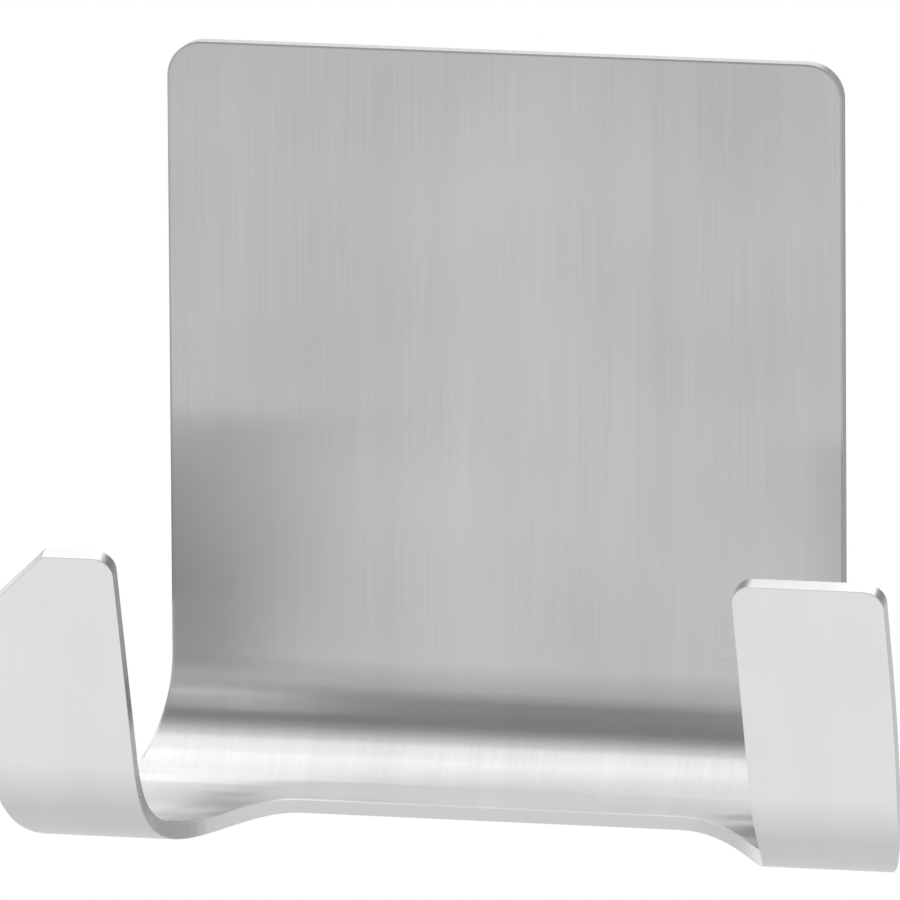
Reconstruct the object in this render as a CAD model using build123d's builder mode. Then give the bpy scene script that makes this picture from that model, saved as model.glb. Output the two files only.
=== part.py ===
from build123d import *

import os
from math import cos, radians, sin, tan

# Self-adhesive double hook folded from one steel sheet, with the foam pad that holds it.
# Millimetres, +Z up. The wall is the XZ plane at Y = 0 and the hook faces -Y.
# The origin is the centre of the pad's wall face.

# Steel sheet and its flat back plate
sheet_thickness = 1.2
plate_width = 50.0
plate_height = 45.2
plate_corner = 2.6

# Roll at the foot of the plate, inner radius, and the lean of the prongs off the vertical
roll_radius = 10.2
prong_lean = 20.0

# Prongs, straight length past the roll, and the slanted corner of the left tip
prong_length = 17.4
prong_width = 11.1
prong_corner = 1.5
left_tip_chamfer = 6.0

# Splay of the arms beyond the sides of the plate, seen from above
splay_offset = 8.8
splay_angle = 27.0
splay_rounding = 26.0

# Notch between the arms, measured forwards from the plate's front face, and its long rounded corners
notch_depth = 6.0
notch_corner_width = 8.6
notch_corner_length = 12.2

# Foam pad behind the plate
pad_thickness = 1.0
pad_margin = 4.0
pad_corner = 2.0

os.makedirs("parts", exist_ok=True)

# Places that follow from the sizes
plate_front = -pad_thickness - sheet_thickness
plate_top = plate_height / 2
plate_bottom = -plate_height / 2
prong_span = plate_width + 2 * splay_offset
prong_gap = prong_span - 2 * prong_width
arm_elbow = (prong_span / 2, plate_front - splay_offset / tan(radians(splay_angle)))
notch_foot = plate_front - notch_depth
lean = radians(prong_lean)
prong_up = Axis((0, 0, 0), (0, -sin(lean), cos(lean)))
prong_normal = Axis((0, 0, 0), (0, cos(lean), sin(lean)))

# The outline is drawn and cut this far out, past the tips and the underside
reach = 2 * (roll_radius + sheet_thickness) + prong_length

# Inner face of the sheet from the side: plate, roll and prong in one tangent line
with BuildLine(Plane.YZ) as side_line:
    plate_line = Line((plate_front, plate_top), (plate_front, plate_bottom))
    roll_line = JernArc(plate_line @ 1, plate_line % 1, roll_radius, prong_lean - 180)
    PolarLine(roll_line @ 1, prong_length, direction=roll_line % 1)

# Outline of the folded sheet from above: plate edge, splayed arms, prongs and notch
with BuildPart() as plan:
    with BuildSketch(Plane.XY.offset(plate_bottom - reach)) as outline:
        with BuildLine():
            notch_corner = EllipticalCenterArc(
                (prong_gap / 2 - notch_corner_width, notch_foot - notch_corner_length),
                notch_corner_width,
                notch_corner_length,
            )
            Polyline(
                notch_corner @ 1,
                (0, notch_foot),
                (0, 0),
                (plate_width / 2, 0),
                (plate_width / 2, plate_front),
                arm_elbow,
                (prong_span / 2, plate_front - reach),
                (prong_gap / 2, plate_front - reach),
                notch_corner @ 0,
            )
        make_face()
        fillet(outline.vertices().sort_by_distance(arm_elbow)[0], splay_rounding)
        mirror(about=Plane.YZ)
    extrude(amount=plate_height + 2 * reach)


def tip_corners(part):
    """Through-thickness edges at the prong tips, from left to right."""
    return part.edges().filter_by(prong_normal).group_by(prong_up)[-1].sort_by(Axis.X)


# Folded sheet: the side line swept across, trimmed to the outline and thickened square to itself
with BuildPart() as hook_plate:
    for stretch in side_line.edges():
        strip = Face.extrude(stretch, (2 * prong_span, 0, 0)).moved(Location((-prong_span, 0, 0)))
        for skin in strip.intersect(plan.part).faces():
            thicken(skin, amount=sheet_thickness)
    fillet(hook_plate.edges().filter_by(Axis.Y).group_by(Axis.Z)[-1], plate_corner)
    chamfer(tip_corners(hook_plate)[0], left_tip_chamfer)
    fillet(tip_corners(hook_plate)[1:], prong_corner)
hook_plate.part.label = "hook_plate"
export_step(hook_plate.part, "parts/hook_plate.step")

# Foam pad: a rounded rectangle on the flat back of the plate
with BuildPart() as adhesive_pad:
    with BuildSketch(Plane.XZ):
        RectangleRounded(plate_width - 2 * pad_margin, plate_height - 2 * pad_margin, pad_corner)
    extrude(amount=pad_thickness)
adhesive_pad.part.label = "adhesive_pad"
export_step(adhesive_pad.part, "parts/adhesive_pad.step")
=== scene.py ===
"""Adhesive double hook: one brushed steel sheet, rolled into two prongs, on a foam pad."""

from math import acos, cos, radians, sin, tan

import bmesh
import bpy
from bpy.props import FloatProperty, FloatVectorProperty, PointerProperty
from mathutils import Matrix, Vector


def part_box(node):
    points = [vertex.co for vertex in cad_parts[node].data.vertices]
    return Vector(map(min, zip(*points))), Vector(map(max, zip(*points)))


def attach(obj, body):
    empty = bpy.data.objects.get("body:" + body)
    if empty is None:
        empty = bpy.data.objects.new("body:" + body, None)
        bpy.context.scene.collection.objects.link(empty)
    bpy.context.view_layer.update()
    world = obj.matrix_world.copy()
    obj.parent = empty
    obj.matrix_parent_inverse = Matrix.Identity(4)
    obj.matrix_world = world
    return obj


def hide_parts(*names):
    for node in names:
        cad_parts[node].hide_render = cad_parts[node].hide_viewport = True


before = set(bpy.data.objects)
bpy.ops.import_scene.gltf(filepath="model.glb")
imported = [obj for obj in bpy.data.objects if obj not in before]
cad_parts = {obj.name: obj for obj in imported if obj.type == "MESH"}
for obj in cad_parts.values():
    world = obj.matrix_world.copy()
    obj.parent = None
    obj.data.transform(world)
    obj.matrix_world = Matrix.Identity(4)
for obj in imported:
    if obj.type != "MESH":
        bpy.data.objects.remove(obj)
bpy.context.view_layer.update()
PLATE_LOW, PLATE_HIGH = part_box("hook_plate")
PAD_LOW, PAD_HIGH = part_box("adhesive_pad")

bl_info = {
    "name": "Adhesive Double Hook",
    "version": (1, 0, 0),
    "blender": (4, 5, 0),
    "location": "3D View > Sidebar > Hook",
    "description": "Folds a brushed steel double hook, lays its foam pad and sets a studio round it",
    "category": "Add Mesh",
}

# Smoothness of the mesh: rows folded into the roll, and steps on each drawn arc and rounded edge
ROLL_ROWS = 80
FLARE_STEPS = 24
ELBOW_STEPS = 12
NOTCH_STEPS = 20
CORNER_STEPS = 12
STEEL_EDGE_STEPS = 2
FOAM_EDGE_STEPS = 3
# Points nearer than this are one point, and a slice snaps to points nearer than that
SAME_POINT = 1e-6
SLICE_SNAP = 1e-7
# Two faces that meet at more than this look like an edge
CREASE_ANGLE = radians(9)
# A face of the blank lies flat where its normal is at least this near to upright
FLAT_NORMAL = 0.9
# Order of the steel's three finishes on the folded sheet
INNER_FACE, OUTER_FACE, CUT_EDGE = range(3)

# Brushing of the steel in metres, across and along the sheet. Real hairlines are too fine to show,
# so they are drawn coarser. The clouds are moved by so many of their own widths.
HAIRLINE_SIZE = (0.00020, 0.012)
BAND_SIZE = (0.0024, 0.060)
CLOUD_SIZE = (0.018, 0.018)
CLOUD_SHIFT = (2.3, 5.1, 0)
# Share of the bands beside the hairlines, and of the clouds beside both
BAND_SHARE = 0.5
CLOUD_SHARE = 0.65
# Most values of a noise lie between these
NOISE_RANGE = {"From Min": 0.25, "From Max": 0.75}
# Sockets of a Mix node's colours, whose names it also gives to its other kinds
MIX_COLOUR_A, MIX_COLOUR_B, MIX_COLOUR_RESULT = 6, 7, 2

# White paper floor, far below the hook
FLOOR_HALF_WIDTH = 6
FLOOR_LEVEL = -0.6

# Painted shades by elevation that the glowing walls share: the dark end of the room, painted shade that
# the roll mirrors as its dark band, and the painted shade behind the hook, which the cut edges mirror
DARK_END = [
    (18, "#8A8988"), (37, "#7E7D7B"), (43, "#A6A6A5"), (49, "#DEDEDE"), (55, "#FFFFFF"),
]
BACK_SHADE = [(12, "#959595"), (35, "#959595"), (40, "#FFFFFF")]

# Glowing walls of the room, seen only in the steel, whose shades paint light and shade into its
# reflections: first and last heading, then shades by elevation
ROOM_RADIUS = 1.0
WALL_STEPS = 24
WALLS = {
    "far_left_wall": (-62, -36, [
        (-30, "#FFFFFF"), (-16, "#A8A8A8"), (2, "#A8A8A8"), (9, "#D8D8D8"),
        (16, "#A4A4A4"), (39, "#9A9A9A"), (47, "#CCCCCC"), (55, "#FFFFFF"),
    ]),
    "front_left_wall": (-36, -13, [
        (-30, "#FFFFFF"), (-12, "#DADADC"), (8, "#C0C0C0"), *DARK_END,
    ]),
    "front_wall": (-13, 6, [
        (-30, "#FFFFFF"), (-12, "#EAEAEA"), (8, "#C8C8C8"), *DARK_END,
    ]),
    "front_right_wall": (6, 60, [
        (-30, "#FFFFFF"), (-16, "#B4B4B4"), *DARK_END,
    ]),
    "right_ceiling": (22, 95, [
        (46, "#404040"), (76, "#404040"),
    ]),
    "back_left_wall": (-175, -146, [
        (58.5, "#B49C78"), (72, "#B49C78"),
    ]),
    "back_wall": (-180, -150, [
        (-6, "#E8E8E8"), (20, "#E8E8E8"),
    ]),
    "back_right_wall": (152, 178, [
        (-25, "#E0E0E0"), (0, "#D6D6D6"), *BACK_SHADE,
    ]),
    "far_right_wall": (95, 152, [
        (-25, "#A8A8A8"), (0, "#A8A8A8"), *BACK_SHADE,
    ]),
}

# Glowing cards close to the hook, also seen only in the steel, where they paint reflections of light and
# shade: corners, shades by height, and the strength of the glow where it isn't 1
CARDS = {
    # Glows brighter than white at its front edge: a painted highlight along the roll that fades into grey
    # painted shade behind
    "low_ceiling_glow": (
        [(-0.040, -0.036, 0.085), (-0.004, -0.036, 0.085), (-0.004, 0.002, 0.075), (-0.040, 0.002, 0.075)],
        [(0.075, "#CECECE"), (0.0785, "#D0D0D0"), (0.085, "#FBFBFB")], 1.25,
    ),
    # Painted shadow of the hook on a table under it, which the prongs' undersides mirror; white at its
    # front edge
    "shaded_table": (
        [(-0.1, -0.045, -0.058), (0.1, -0.045, -0.058), (0.1, 0.12, -0.0745), (-0.1, 0.12, -0.0745)],
        [(-0.0745, "#DCDCDC"), (-0.061, "#DCDCDC"), (-0.058, "#FFFFFF")],
    ),
    # Painted shade: a dark glowing card that the plate's lower left mirrors, darker towards the bottom
    "left_shade_flag": (
        [(-0.041, -0.006, -0.020), (-0.0275, -0.006, -0.020), (-0.0275, -0.006, 0), (-0.041, -0.006, 0)],
        [(-0.020, "#2E3236"), (-0.013, "#30343A"), (-0.0098, "#505356"), (-0.0063, "#727272"),
         (-0.0027, "#868482"), (0, "#8A847C")],
    ),
    # Painted warm reflection in the left end of the roll, above the dark card below it
    "warm_reflection_flag": (
        [(-0.050, -0.006, 0), (-0.0285, -0.006, 0), (-0.0285, -0.006, 0.0128), (-0.050, -0.006, 0.0128)],
        [(0, "#8A847C"), (0.004, "#9C8258"), (0.0128, "#A88652")],
    ),
    # Glows brighter than white at its top: a painted highlight on the left arm, while it hides the back
    # softbox from there
    "glowing_arm_shield": (
        [(-0.0375, 0.004, -0.020), (-0.0255, 0.004, -0.020),
         (-0.0255, 0.004, 0.022), (-0.0375, 0.004, 0.022)],
        [(-0.020, "#D4D4D4"), (0.004, "#E0E0E0"), (0.022, "#FFFFFF")], 1.35,
    ),
    # Painted shade: a grey card behind the plate that its right cut edge mirrors as a dark line
    "right_edge_shade_flag": (
        [(0.026, 0.015, -0.030), (0.036, 0.015, -0.030), (0.036, 0.015, 0.030), (0.026, 0.015, 0.030)],
        [(-0.030, "#A8A8A8"), (0.030, "#A8A8A8")],
    ),
    # Painted shade: a small grey card before the plate's foot that puts a dark pocket into the roll by the
    # notch's left corner
    "left_pocket_shade": (
        [(-0.0233, -0.0037, -0.0219), (-0.0198, -0.0037, -0.0219),
         (-0.0198, -0.0026, -0.02166), (-0.0233, -0.0026, -0.02166)],
        [(-0.023, "#C8C8C8"), (-0.021, "#C8C8C8")],
    ),
    # Painted shade: a small warm grey card before the plate's foot that puts a dark pocket into the roll by
    # the notch's right corner
    "right_pocket_shade": (
        [(0.0153, -0.0038, -0.0219), (0.024, -0.0038, -0.0219),
         (0.024, -0.0028, -0.02169), (0.0153, -0.0028, -0.02169)],
        [(-0.023, "#A6A49E"), (-0.021, "#A6A49E")],
    ),
}

# Softboxes overhead: middle, width and depth, and power in watts
SOFTBOXES = {
    "front_softbox": ((-0.1, -0.17, 0.8), (2.0, 0.74), 1.0),
    "back_softbox": ((-0.1, 0.69, 0.8), (2.0, 0.53), 2.2),
    "left_arm_softbox": ((-0.069, -0.015, 0.12), (0.044, 0.09), 0.0056),
    "right_tip_softbox": ((-0.005, 0.075, 0.12), (0.06, 0.06), 0.0046),
}


def linear(hex_colour):
    """Linear RGB of an sRGB hex colour."""
    channels = [int(hex_colour[i:i + 2], 16) / 255 for i in (1, 3, 5)]
    return [c / 12.92 if c <= 0.04045 else ((c + 0.055) / 1.055) ** 2.4 for c in channels]


def length(name, description, default):
    """A size in metres that a user can change."""
    return FloatProperty(
        name=name, description=description, default=default, min=0, precision=5, unit="LENGTH"
    )


def angle(name, description, default):
    """An angle that a user can change, given here in degrees."""
    return FloatProperty(name=name, description=description, default=radians(default), unit="ROTATION")


def share(name, description, default):
    """A share from 0 to 1 that a user can change."""
    return FloatProperty(
        name=name, description=description, default=default, min=0, max=1, precision=3, subtype="FACTOR"
    )


def colour(name, description, hex_colour):
    """A colour that a user can change, given here as an sRGB hex value."""
    return FloatVectorProperty(
        name=name, description=description, default=linear(hex_colour), min=0, max=1, subtype="COLOR"
    )


class HookPlateSettings(bpy.types.PropertyGroup):
    """Sizes and finish of the folded steel sheet."""

    sheet: length("Sheet", "Thickness of the steel sheet", 0.0012)
    rollover_width: length("Rollover width", "Width of the shallow slope that the punch left", 0.00015)
    rollover_depth: length("Rollover depth", "Fall of that slope towards the cut edge", 0.00003)
    outer_edge: length("Outer edge", "Rounding of the edges round the outer face", 0.00005)
    plate_width: length("Plate width", "Width of the flat back plate", 0.050)
    plate_corner: length("Plate corner", "Radius of the two upper corners", 0.0026)
    roll_radius: length("Roll radius", "Inner radius of the roll at the foot of the plate", 0.0102)
    prong_lean: angle("Prong lean", "Lean of the prongs away from the wall", 20)
    prong_length: length("Prong length", "Straight length of a prong past the roll", 0.0174)
    prong_width: length("Prong width", "Width of a prong at its tip", 0.0111)
    prong_corner: length("Prong corner", "Radius of the rounded tip corners", 0.0015)
    left_tip_chamfer: length("Left tip chamfer", "Slanted outer corner of the left tip", 0.0060)
    splay_angle: angle("Splay angle", "Angle of the arms beyond the plate, seen from above", 27)
    splay_rounding: length("Splay rounding", "Radius where an arm turns into its prong", 0.026)
    notch_depth: length("Notch depth", "Distance of the notch from the plate's face", 0.0060)
    notch_corner_width: length("Notch corner width", "Width of the notch's rounded corners", 0.0086)
    notch_corner_length: length("Notch corner length", "Reach of those corners towards the front", 0.0122)
    front_marks: share("Front marks", "Contrast of the inner face's hairlines", 0.09)
    back_marks: share("Back marks", "Contrast of the outer face's hairlines", 0.035)
    steel: colour("Steel", "Colour of the brushed faces", "#E2E2E4")
    cut_steel: colour("Cut steel", "Colour of the deburred edges", "#E2E2E4")


class FoamPadSettings(bpy.types.PropertyGroup):
    """Sizes and finish of the foam pad."""

    corner: length("Corner", "Radius of the pad's corners", 0.002)
    softness: length("Softness", "Rounding of the pad's cut edges", 0.0002)
    foam: colour("Foam", "Colour of the foam", "#E9E8E4")


class StudioSettings(bpy.types.PropertyGroup):
    """Camera and light."""

    azimuth: angle("Azimuth", "Camera's turn to the right of the hook", 13.466)
    elevation: angle("Elevation", "Camera's height above the horizon", 11.715)
    roll: angle("Roll", "Camera's turn about its own line of sight", -0.379)
    distance: length("Distance", "Distance of the camera from the point it looks at", 1.7432)
    focus: FloatVectorProperty(
        name="Focus", description="Point in the middle of the picture",
        default=(-0.004135, -0.0022, -0.00681), precision=5, subtype="TRANSLATION",
    )
    picture_width: length("Picture width", "Width that the picture shows at that point", 0.06517)
    backdrop: colour("Backdrop", "Colour of the floor and of the space round the hook", "#FFFFFF")
    ambient: share("Ambient", "Strength of the light from all round", 0.95)


def add_node(tree, kind, settings=None, links=None):
    """Adds a node, sets its properties and socket values, and links its inputs."""
    node = tree.nodes.new(kind)
    for name, value in (settings or {}).items():
        if isinstance(name, str) and hasattr(node, name):
            setattr(node, name, value)
        else:
            node.inputs[name].default_value = value
    for name, source in (links or {}).items():
        tree.links.new(source, node.inputs[name])
    return node


def new_material(name):
    """An empty node material and its tree."""
    material = bpy.data.materials.new(name)
    material.use_nodes = True
    material.node_tree.nodes.clear()
    return material, material.node_tree


def brushed_steel(name, settings, contrast):
    """Stainless sheet, brushed along its length before it was rolled.

    The fine scratches run with the sheet, so reflections smear across it and stay sharper along it,
    and the face carries faint light and dark hairlines.
    """
    material, tree = new_material(name)
    flat = add_node(tree, "ShaderNodeUVMap", {"uv_map": "Flat"})
    patterns = {
        "hairlines": (HAIRLINE_SIZE, (0, 0, 0), {"Detail": 3, "Roughness": 0.6}),
        "bands": (BAND_SIZE, (0, 0, 0), {"Detail": 2}),
        "clouds": (CLOUD_SIZE, CLOUD_SHIFT, {"Detail": 1}),
    }
    noise = {}
    for pattern, (size, shift, texture) in patterns.items():
        place = add_node(
            tree, "ShaderNodeMapping", {"Location": shift, "Scale": (1 / size[0], 1 / size[1], 1)},
            {"Vector": flat.outputs["UV"]},
        )
        grain = add_node(
            tree, "ShaderNodeTexNoise", {"noise_dimensions": "2D", "Scale": 1, **texture},
            {"Vector": place.outputs["Vector"]},
        )
        noise[pattern] = grain.outputs["Fac"]
    lines = add_node(
        tree, "ShaderNodeMix", {"Factor": BAND_SHARE}, {"A": noise["hairlines"], "B": noise["bands"]}
    )
    marks = add_node(
        tree, "ShaderNodeMix", {"Factor": CLOUD_SHARE}, {"A": lines.outputs["Result"], "B": noise["clouds"]}
    )
    tone = add_node(
        tree, "ShaderNodeMapRange", {**NOISE_RANGE, "To Min": 1 - contrast, "To Max": 1 + contrast},
        {"Value": marks.outputs["Result"]},
    )
    shade = add_node(
        tree, "ShaderNodeMix",
        {"data_type": "RGBA", "blend_type": "MULTIPLY", "Factor": 1, MIX_COLOUR_A: [*settings.steel, 1]},
        {MIX_COLOUR_B: tone.outputs["Result"]},
    )
    dull_line, bright_line = 0.25, 0.23
    gloss = add_node(
        tree, "ShaderNodeMapRange", {**NOISE_RANGE, "To Min": dull_line, "To Max": bright_line},
        {"Value": lines.outputs["Result"]},
    )
    across = add_node(tree, "ShaderNodeTangent", {"direction_type": "UV_MAP", "uv_map": "Flat"})
    surface = add_node(
        tree, "ShaderNodeBsdfPrincipled", {"Metallic": 1, "Anisotropic": 1},
        {
            "Base Color": shade.outputs[MIX_COLOUR_RESULT],
            "Roughness": gloss.outputs["Result"],
            "Tangent": across.outputs["Tangent"],
        },
    )
    add_node(tree, "ShaderNodeOutputMaterial", links={"Surface": surface.outputs["BSDF"]})
    return material


def deburred_steel(settings):
    """Cut edge of the stainless sheet, tumbled smooth: an even satin that is duller in soft patches."""
    material, tree = new_material("deburred stainless edge")
    place = add_node(tree, "ShaderNodeTexCoord")
    patch_size = 0.0015
    smooth_patch, dull_patch = 0.24, 0.32
    patches = add_node(
        tree, "ShaderNodeTexNoise", {"Scale": 1 / patch_size, "Detail": 2},
        {"Vector": place.outputs["Object"]},
    )
    gloss = add_node(
        tree, "ShaderNodeMapRange", {"To Min": smooth_patch, "To Max": dull_patch},
        {"Value": patches.outputs["Fac"]},
    )
    surface = add_node(
        tree, "ShaderNodeBsdfPrincipled", {"Metallic": 1, "Base Color": [*settings.cut_steel, 1]},
        {"Roughness": gloss.outputs["Result"]},
    )
    add_node(tree, "ShaderNodeOutputMaterial", links={"Surface": surface.outputs["BSDF"]})
    return material


def closed_cell_foam(settings):
    """Polyethylene foam tape: white and matt, with small closed cells in its skin."""
    material, tree = new_material("polyethylene foam tape")
    place = add_node(tree, "ShaderNodeTexCoord")
    cell_size = 0.0004
    cell_wall = 0.6
    wall_tone = 0.93
    cell_depth = 0.00005
    cells = add_node(
        tree, "ShaderNodeTexVoronoi", {"Scale": 1 / cell_size}, {"Vector": place.outputs["Object"]}
    )
    tone = add_node(
        tree, "ShaderNodeMapRange", {"From Max": cell_wall, "To Min": 1.0, "To Max": wall_tone},
        {"Value": cells.outputs["Distance"]},
    )
    shade = add_node(
        tree, "ShaderNodeMix",
        {"data_type": "RGBA", "blend_type": "MULTIPLY", "Factor": 1, MIX_COLOUR_A: [*settings.foam, 1]},
        {MIX_COLOUR_B: tone.outputs["Result"]},
    )
    dents = add_node(
        tree, "ShaderNodeBump", {"Strength": 0.35, "Distance": cell_depth, "invert": True},
        {"Height": cells.outputs["Distance"]},
    )
    surface = add_node(
        tree, "ShaderNodeBsdfPrincipled", {"Roughness": 0.6},
        {"Base Color": shade.outputs[MIX_COLOUR_RESULT], "Normal": dents.outputs["Normal"]},
    )
    add_node(tree, "ShaderNodeOutputMaterial", links={"Surface": surface.outputs["BSDF"]})
    return material


def along_sheet(size, depth):
    """Length of sheet from the foot of the plate to this depth in front of its face."""
    turned = min(depth, size.roll_radius * (1 + cos(size.prong_lean)))
    rolled = size.roll_radius * acos(1 - turned / size.roll_radius)
    return rolled + (depth - turned) / sin(size.prong_lean)


def sheet_lengths(size):
    """Lengths of the plate, the roll and the whole arm, along the sheet."""
    plate = PLATE_HIGH.z - PLATE_LOW.z - size.roll_radius - size.sheet
    roll = size.roll_radius * (radians(180) - size.prong_lean)
    return plate, roll, roll + size.prong_length


def half_outline(size):
    """Right half of the flat blank as (across, along) points, from the top middle round to the notch."""
    plate, _, arm = sheet_lengths(size)
    half_plate = size.plate_width / 2
    half_span = PLATE_HIGH.x
    half_gap = half_span - size.prong_width
    tangent = size.splay_rounding * tan(size.splay_angle / 2)
    elbow_end = (half_span - half_plate) / tan(size.splay_angle) + tangent
    elbow_start = elbow_end - size.splay_rounding * sin(size.splay_angle)
    flare_turn = acos(1 - elbow_start / size.roll_radius)

    points = [(0, -plate), (half_plate, -plate)]
    for i in range(FLARE_STEPS):
        turn = flare_turn * i / FLARE_STEPS
        depth = size.roll_radius * (1 - cos(turn))
        points.append((half_plate + depth * tan(size.splay_angle), size.roll_radius * turn))
    for i in range(ELBOW_STEPS + 1):
        turn = size.splay_angle * (1 - i / ELBOW_STEPS)
        depth = elbow_end - size.splay_rounding * sin(turn)
        points.append((half_span - size.splay_rounding * (1 - cos(turn)), along_sheet(size, depth)))
    points += [(half_span, arm), (half_gap, arm)]
    for i in range(NOTCH_STEPS + 1):
        turn = radians(90) * i / NOTCH_STEPS
        depth = size.notch_depth + size.notch_corner_length * (1 - sin(turn))
        points.append((half_gap - size.notch_corner_width * (1 - cos(turn)), along_sheet(size, depth)))
    points.append((0, along_sheet(size, size.notch_depth)))
    return points


def round_corner(bm, x, y, size, steps):
    """Rounds the flat blank's corner at this place, or cuts it straight with one step."""
    corner = min(bm.verts, key=lambda v: (v.co.x - x) ** 2 + (v.co.y - y) ** 2)
    bmesh.ops.bevel(
        bm, geom=[corner], offset=size, offset_type="OFFSET", affect="VERTICES",
        segments=steps, profile=0.5, material=-1,
    )


def cut_blank(size):
    """The flat blank: outline, corners, thickness, rounded outer edges and the punch's rollover.

    Its inner face is at zero height.
    """
    bm = bmesh.new()
    bm.faces.new([bm.verts.new((x, y, 0)) for x, y in half_outline(size)])
    bmesh.ops.mirror(bm, geom=bm.verts[:] + bm.edges[:] + bm.faces[:], axis="X", merge_dist=SAME_POINT)
    seam = [e for e in bm.edges if all(abs(v.co.x) < SAME_POINT for v in e.verts)]
    bmesh.ops.dissolve_edges(bm, edges=seam, use_verts=True)

    plate, _, arm = sheet_lengths(size)
    half_span = PLATE_HIGH.x
    half_gap = half_span - size.prong_width
    for side in (-1, 1):
        round_corner(bm, side * size.plate_width / 2, -plate, size.plate_corner, CORNER_STEPS)
        round_corner(bm, side * half_gap, arm, size.prong_corner, CORNER_STEPS)
    round_corner(bm, half_span, arm, size.prong_corner, CORNER_STEPS)
    round_corner(bm, -half_span, arm, size.left_tip_chamfer, steps=1)

    raised = bmesh.ops.extrude_face_region(bm, geom=bm.faces[:])["geom"]
    bmesh.ops.translate(
        bm, verts=[v for v in raised if isinstance(v, bmesh.types.BMVert)], vec=(0, 0, size.sheet)
    )
    bmesh.ops.recalc_face_normals(bm, faces=bm.faces[:])
    outer_rim = [e for e in bm.edges if all(v.co.z > size.sheet / 2 for v in e.verts)]
    bmesh.ops.bevel(
        bm, geom=outer_rim, offset=size.outer_edge, offset_type="OFFSET", affect="EDGES",
        segments=STEEL_EDGE_STEPS, profile=0.5, material=-1,
    )
    inner_face = min(bm.faces, key=lambda face: face.calc_center_median().z)
    bmesh.ops.inset_region(bm, faces=[inner_face], thickness=size.rollover_width, use_even_offset=True)
    level = set(inner_face.verts)
    inner_rim = [v for v in bm.verts if v.co.z < size.sheet / 2 and v not in level]
    bmesh.ops.translate(bm, verts=inner_rim, vec=(0, 0, size.rollover_depth))
    return bm


def smooth_shading(bm):
    """Shades the faces smooth, and keeps an edge where two of them meet sharply."""
    for face in bm.faces:
        face.smooth = True
    for edge in bm.edges:
        edge.smooth = edge.calc_face_angle(0) < CREASE_ANGLE


def fold_blank(bm, size):
    """Slices the roll into rows, keeps the flat places as a map and bends the blank round the roll."""
    plate, roll, _ = sheet_lengths(size)
    for row in range(ROLL_ROWS + 1):
        bmesh.ops.bisect_plane(
            bm, geom=bm.verts[:] + bm.edges[:] + bm.faces[:], dist=SLICE_SNAP,
            plane_co=(0, roll * row / ROLL_ROWS, 0), plane_no=(0, 1, 0),
        )
    flat = bm.loops.layers.uv.new("Flat")
    for face in bm.faces:
        if face.normal.z < -FLAT_NORMAL:
            face.material_index = INNER_FACE
        elif face.normal.z > FLAT_NORMAL:
            face.material_index = OUTER_FACE
        else:
            face.material_index = CUT_EDGE
        for loop in face.loops:
            loop[flat].uv = loop.vert.co.xy
    face_y = PLATE_HIGH.y - size.sheet
    centre = Vector((0, face_y - size.roll_radius, PLATE_HIGH.z - plate))
    for vert in bm.verts:
        across, along, height = vert.co
        turn = min(max(along, 0), roll) / size.roll_radius
        outwards = Vector((0, cos(turn), -sin(turn)))
        onwards = Vector((0, -sin(turn), -cos(turn)))
        straight = along - turn * size.roll_radius
        vert.co = centre + outwards * (size.roll_radius + height) + onwards * straight
        vert.co.x = across
    bmesh.ops.recalc_face_normals(bm, faces=bm.faces[:])
    smooth_shading(bm)


def add_piece(name, bm, materials):
    """Turns a bmesh into an object at the origin with these materials."""
    mesh = bpy.data.meshes.new(name)
    bm.to_mesh(mesh)
    bm.free()
    for material in materials:
        mesh.materials.append(material)
    piece = bpy.data.objects.new(name, mesh)
    bpy.context.scene.collection.objects.link(piece)
    return piece


class HOOK_OT_fold_plate(bpy.types.Operator):
    """Cut, deburr and fold the steel sheet"""

    bl_idname = "hook.fold_plate"
    bl_label = "Fold Hook Plate"

    def execute(self, context):
        settings = context.scene.hook_plate
        bm = cut_blank(settings)
        fold_blank(bm, settings)
        plate = add_piece("steel_hook_plate", bm, [
            brushed_steel("brushed stainless steel", settings, settings.front_marks),
            brushed_steel("finely brushed stainless steel", settings, settings.back_marks),
            deburred_steel(settings),
        ])
        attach(plate, "root")
        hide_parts("hook_plate")
        return {"FINISHED"}


class HOOK_OT_lay_pad(bpy.types.Operator):
    """Cut the foam pad on the back of the plate"""

    bl_idname = "hook.lay_pad"
    bl_label = "Lay Foam Pad"

    def execute(self, context):
        settings = context.scene.hook_pad
        size = PAD_HIGH - PAD_LOW
        bm = bmesh.new()
        bmesh.ops.create_cube(bm, size=1)
        bmesh.ops.scale(bm, vec=size, verts=bm.verts)
        bmesh.ops.translate(bm, vec=(PAD_LOW + PAD_HIGH) / 2, verts=bm.verts)
        uprights = [e for e in bm.edges if abs(e.verts[0].co.y - e.verts[1].co.y) > size.y / 2]
        bmesh.ops.bevel(
            bm, geom=uprights, offset=settings.corner, offset_type="OFFSET", affect="EDGES",
            segments=CORNER_STEPS, profile=0.5, material=-1,
        )
        rims = [e for e in bm.edges if abs(e.verts[0].co.y - e.verts[1].co.y) < size.y / 2]
        bmesh.ops.bevel(
            bm, geom=rims, offset=settings.softness, offset_type="OFFSET", affect="EDGES",
            segments=FOAM_EDGE_STEPS, profile=0.5, material=-1,
        )
        smooth_shading(bm)
        pad = add_piece("foam_pad", bm, [closed_cell_foam(settings)])
        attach(pad, "root")
        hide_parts("adhesive_pad")
        return {"FINISHED"}


def white_to_picture(tree, other):
    """1 where the picture or a reflection looks, and the other strength where light is gathered."""
    path = add_node(tree, "ShaderNodeLightPath")
    seen = path.outputs["Is Camera Ray"]
    for ray in ("Is Glossy Ray", "Is Transmission Ray"):
        both = add_node(tree, "ShaderNodeMath", {"operation": "MAXIMUM"}, {0: seen, 1: path.outputs[ray]})
        seen = both.outputs["Value"]
    return add_node(tree, "ShaderNodeMix", {"A": other, "B": 1.0}, {"Factor": seen}).outputs["Result"]


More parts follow.
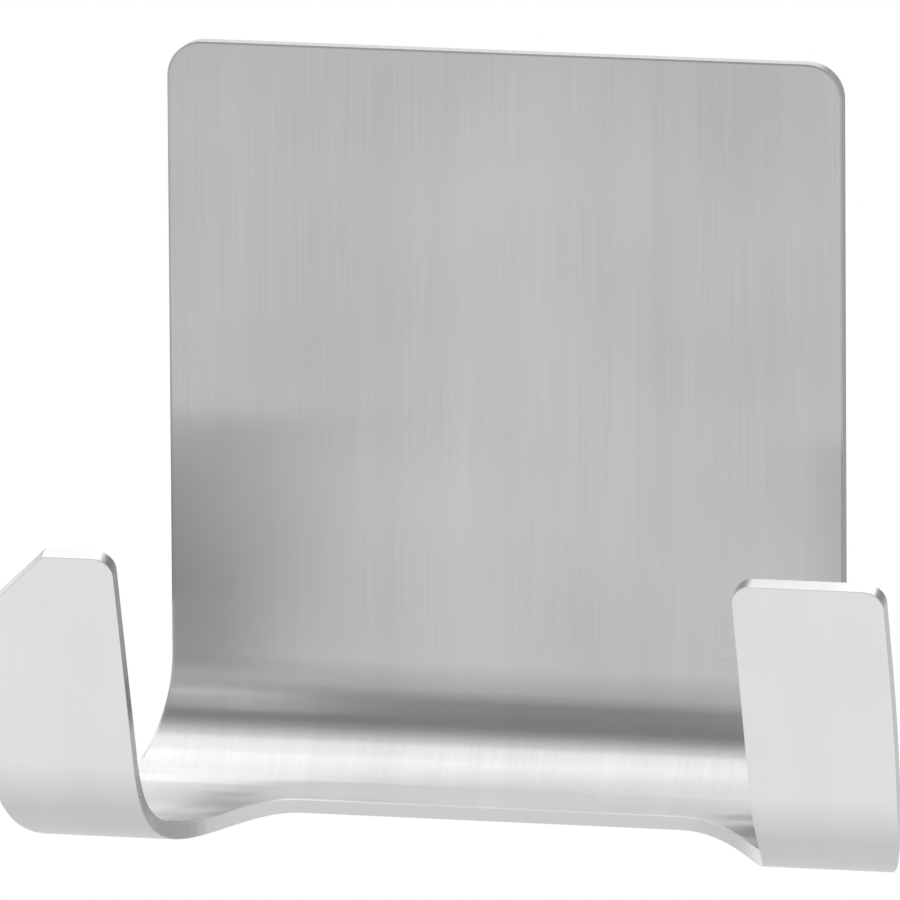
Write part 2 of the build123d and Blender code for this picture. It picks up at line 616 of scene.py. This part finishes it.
def shaded_by_height(name, shades, strength=1):
    """Glowing material whose colour changes between these heights."""
    material, tree = new_material(name)
    place = add_node(tree, "ShaderNodeTexCoord")
    parts = add_node(tree, "ShaderNodeSeparateXYZ", links={"Vector": place.outputs["Object"]})
    low, high = shades[0][0], shades[-1][0]
    height = add_node(
        tree, "ShaderNodeMapRange", {"From Min": low, "From Max": high}, {"Value": parts.outputs["Z"]}
    )
    ramp = add_node(tree, "ShaderNodeValToRGB", links={"Fac": height.outputs["Result"]})
    stops = ramp.color_ramp.elements
    while len(stops) < len(shades):
        stops.new(0.5)
    for stop, (z, shade) in zip(stops, shades):
        stop.position = (z - low) / (high - low)
        stop.color = (*linear(shade), 1)
    glow = add_node(tree, "ShaderNodeEmission", {"Strength": strength}, {"Color": ramp.outputs["Color"]})
    add_node(tree, "ShaderNodeOutputMaterial", links={"Surface": glow.outputs["Emission"]})
    return material


def add_wall(name, start, end, shades):
    """Part of a round wall about the hook, between two headings in degrees, 0 straight in front."""
    heights = [(ROOM_RADIUS * tan(radians(elevation)), shade) for elevation, shade in shades]
    bm = bmesh.new()
    ends = [bm.verts.new((0, -ROOM_RADIUS, heights[i][0])) for i in (0, -1)]
    bmesh.ops.rotate(
        bm, cent=(0, 0, 0), matrix=Matrix.Rotation(radians(start), 3, "Z"), verts=ends
    )
    bmesh.ops.spin(
        bm, geom=[*ends, bm.edges.new(ends)], cent=(0, 0, 0), axis=(0, 0, 1),
        angle=radians(end - start), steps=WALL_STEPS,
    )
    hide_from_camera(add_piece(name, bm, [shaded_by_height(name, heights)]))


def add_card(name, corners, shades, strength=1):
    """A flat card close to the hook."""
    bm = bmesh.new()
    bm.faces.new([bm.verts.new(corner) for corner in corners])
    hide_from_camera(add_piece(name, bm, [shaded_by_height(name, shades, strength)]))


def hide_from_camera(card):
    """Marks a piece of the studio that only reflections and light show."""
    card.visible_camera = False
    card.visible_shadow = False


class HOOK_OT_set_studio(bpy.types.Operator):
    """Set the floor, the light and the camera"""

    bl_idname = "hook.set_studio"
    bl_label = "Set Studio"

    def execute(self, context):
        settings = context.scene.hook_studio
        self.set_world(context, settings)
        self.lay_floor(settings)
        self.hang_lights()
        self.aim_camera(context, settings)
        context.scene.view_settings.view_transform = "Standard"
        return {"FINISHED"}

    def set_world(self, context, settings):
        """White all round the hook."""
        world = bpy.data.worlds.new("white studio")
        context.scene.world = world
        world.use_nodes = True
        tree = world.node_tree
        tree.nodes.clear()
        light = add_node(
            tree, "ShaderNodeBackground", {"Color": [*settings.backdrop, 1]},
            {"Strength": white_to_picture(tree, settings.ambient)},
        )
        add_node(tree, "ShaderNodeOutputWorld", links={"Surface": light.outputs["Background"]})

    def lay_floor(self, settings):
        """White paper under the hook."""
        material, tree = new_material("white paper floor")
        paper = add_node(tree, "ShaderNodeBsdfDiffuse", {"Color": [*settings.backdrop, 1]})
        glow = add_node(tree, "ShaderNodeEmission", {"Color": [*settings.backdrop, 1]})
        seen = white_to_picture(tree, 0.0)
        # The two shader sockets share a name, so they go by number
        both = add_node(
            tree, "ShaderNodeMixShader",
            links={0: seen, 1: paper.outputs["BSDF"], 2: glow.outputs["Emission"]},
        )
        add_node(tree, "ShaderNodeOutputMaterial", links={"Surface": both.outputs["Shader"]})
        bm = bmesh.new()
        bmesh.ops.create_grid(bm, x_segments=1, y_segments=1, size=FLOOR_HALF_WIDTH)
        bmesh.ops.translate(bm, vec=(0, 0, FLOOR_LEVEL), verts=bm.verts)
        add_piece("paper_floor", bm, [material])

    def hang_lights(self):
        """Walls, cards and softboxes round the hook."""
        for name, wall in WALLS.items():
            add_wall(name, *wall)
        for name, card in CARDS.items():
            add_card(name, *card)
        for name, (middle, size, power) in SOFTBOXES.items():
            light = bpy.data.lights.new(name, "AREA")
            light.shape = "RECTANGLE"
            light.size, light.size_y = size
            light.energy = power
            lamp = bpy.data.objects.new(name, light)
            lamp.location = middle
            lamp.visible_camera = False
            bpy.context.scene.collection.objects.link(lamp)

    def aim_camera(self, context, settings):
        """Camera that looks at the focus from the right and a little above."""
        azimuth, elevation, roll = settings.azimuth, settings.elevation, settings.roll
        back = Vector((sin(azimuth) * cos(elevation), -cos(azimuth) * cos(elevation), sin(elevation)))
        right = Vector((cos(azimuth), sin(azimuth), 0))
        up = back.cross(right)
        across = right * cos(roll) + up * sin(roll)
        upward = up * cos(roll) - right * sin(roll)
        camera = bpy.data.cameras.new("camera")
        camera.sensor_fit = "HORIZONTAL"
        camera.lens = camera.sensor_width * settings.distance / settings.picture_width
        seat = bpy.data.objects.new("camera", camera)
        turn = Matrix((across, upward, back)).transposed()
        place = Vector(settings.focus) + back * settings.distance
        seat.matrix_world = Matrix.Translation(place) @ turn.to_4x4()
        context.scene.collection.objects.link(seat)
        context.scene.camera = seat


class HOOK_PT_panel(bpy.types.Panel):
    """Sizes, finish and studio of the double hook"""

    bl_label = "Double Hook"
    bl_idname = "HOOK_PT_panel"
    bl_space_type = "VIEW_3D"
    bl_region_type = "UI"
    bl_category = "Hook"

    def draw(self, context):
        for group in PROPERTY_GROUPS:
            box = self.layout.box()
            settings = getattr(context.scene, group)
            for name in settings.bl_rna.properties.keys():
                if name not in ("rna_type", "name"):
                    box.prop(settings, name)
        for operator in OPERATORS:
            self.layout.operator(operator.bl_idname)


PROPERTY_GROUPS = {
    "hook_plate": HookPlateSettings,
    "hook_pad": FoamPadSettings,
    "hook_studio": StudioSettings,
}
OPERATORS = (HOOK_OT_fold_plate, HOOK_OT_lay_pad, HOOK_OT_set_studio)
CLASSES = (*PROPERTY_GROUPS.values(), *OPERATORS, HOOK_PT_panel)


def register():
    for cls in CLASSES:
        bpy.utils.register_class(cls)
    for name, cls in PROPERTY_GROUPS.items():
        setattr(bpy.types.Scene, name, PointerProperty(type=cls))


def unregister():
    for name in PROPERTY_GROUPS:
        delattr(bpy.types.Scene, name)
    for cls in reversed(CLASSES):
        bpy.utils.unregister_class(cls)


def main():
    register()
    bpy.ops.hook.fold_plate()
    bpy.ops.hook.lay_pad()
    bpy.ops.hook.set_studio()


if __name__ == "__main__":
    main()
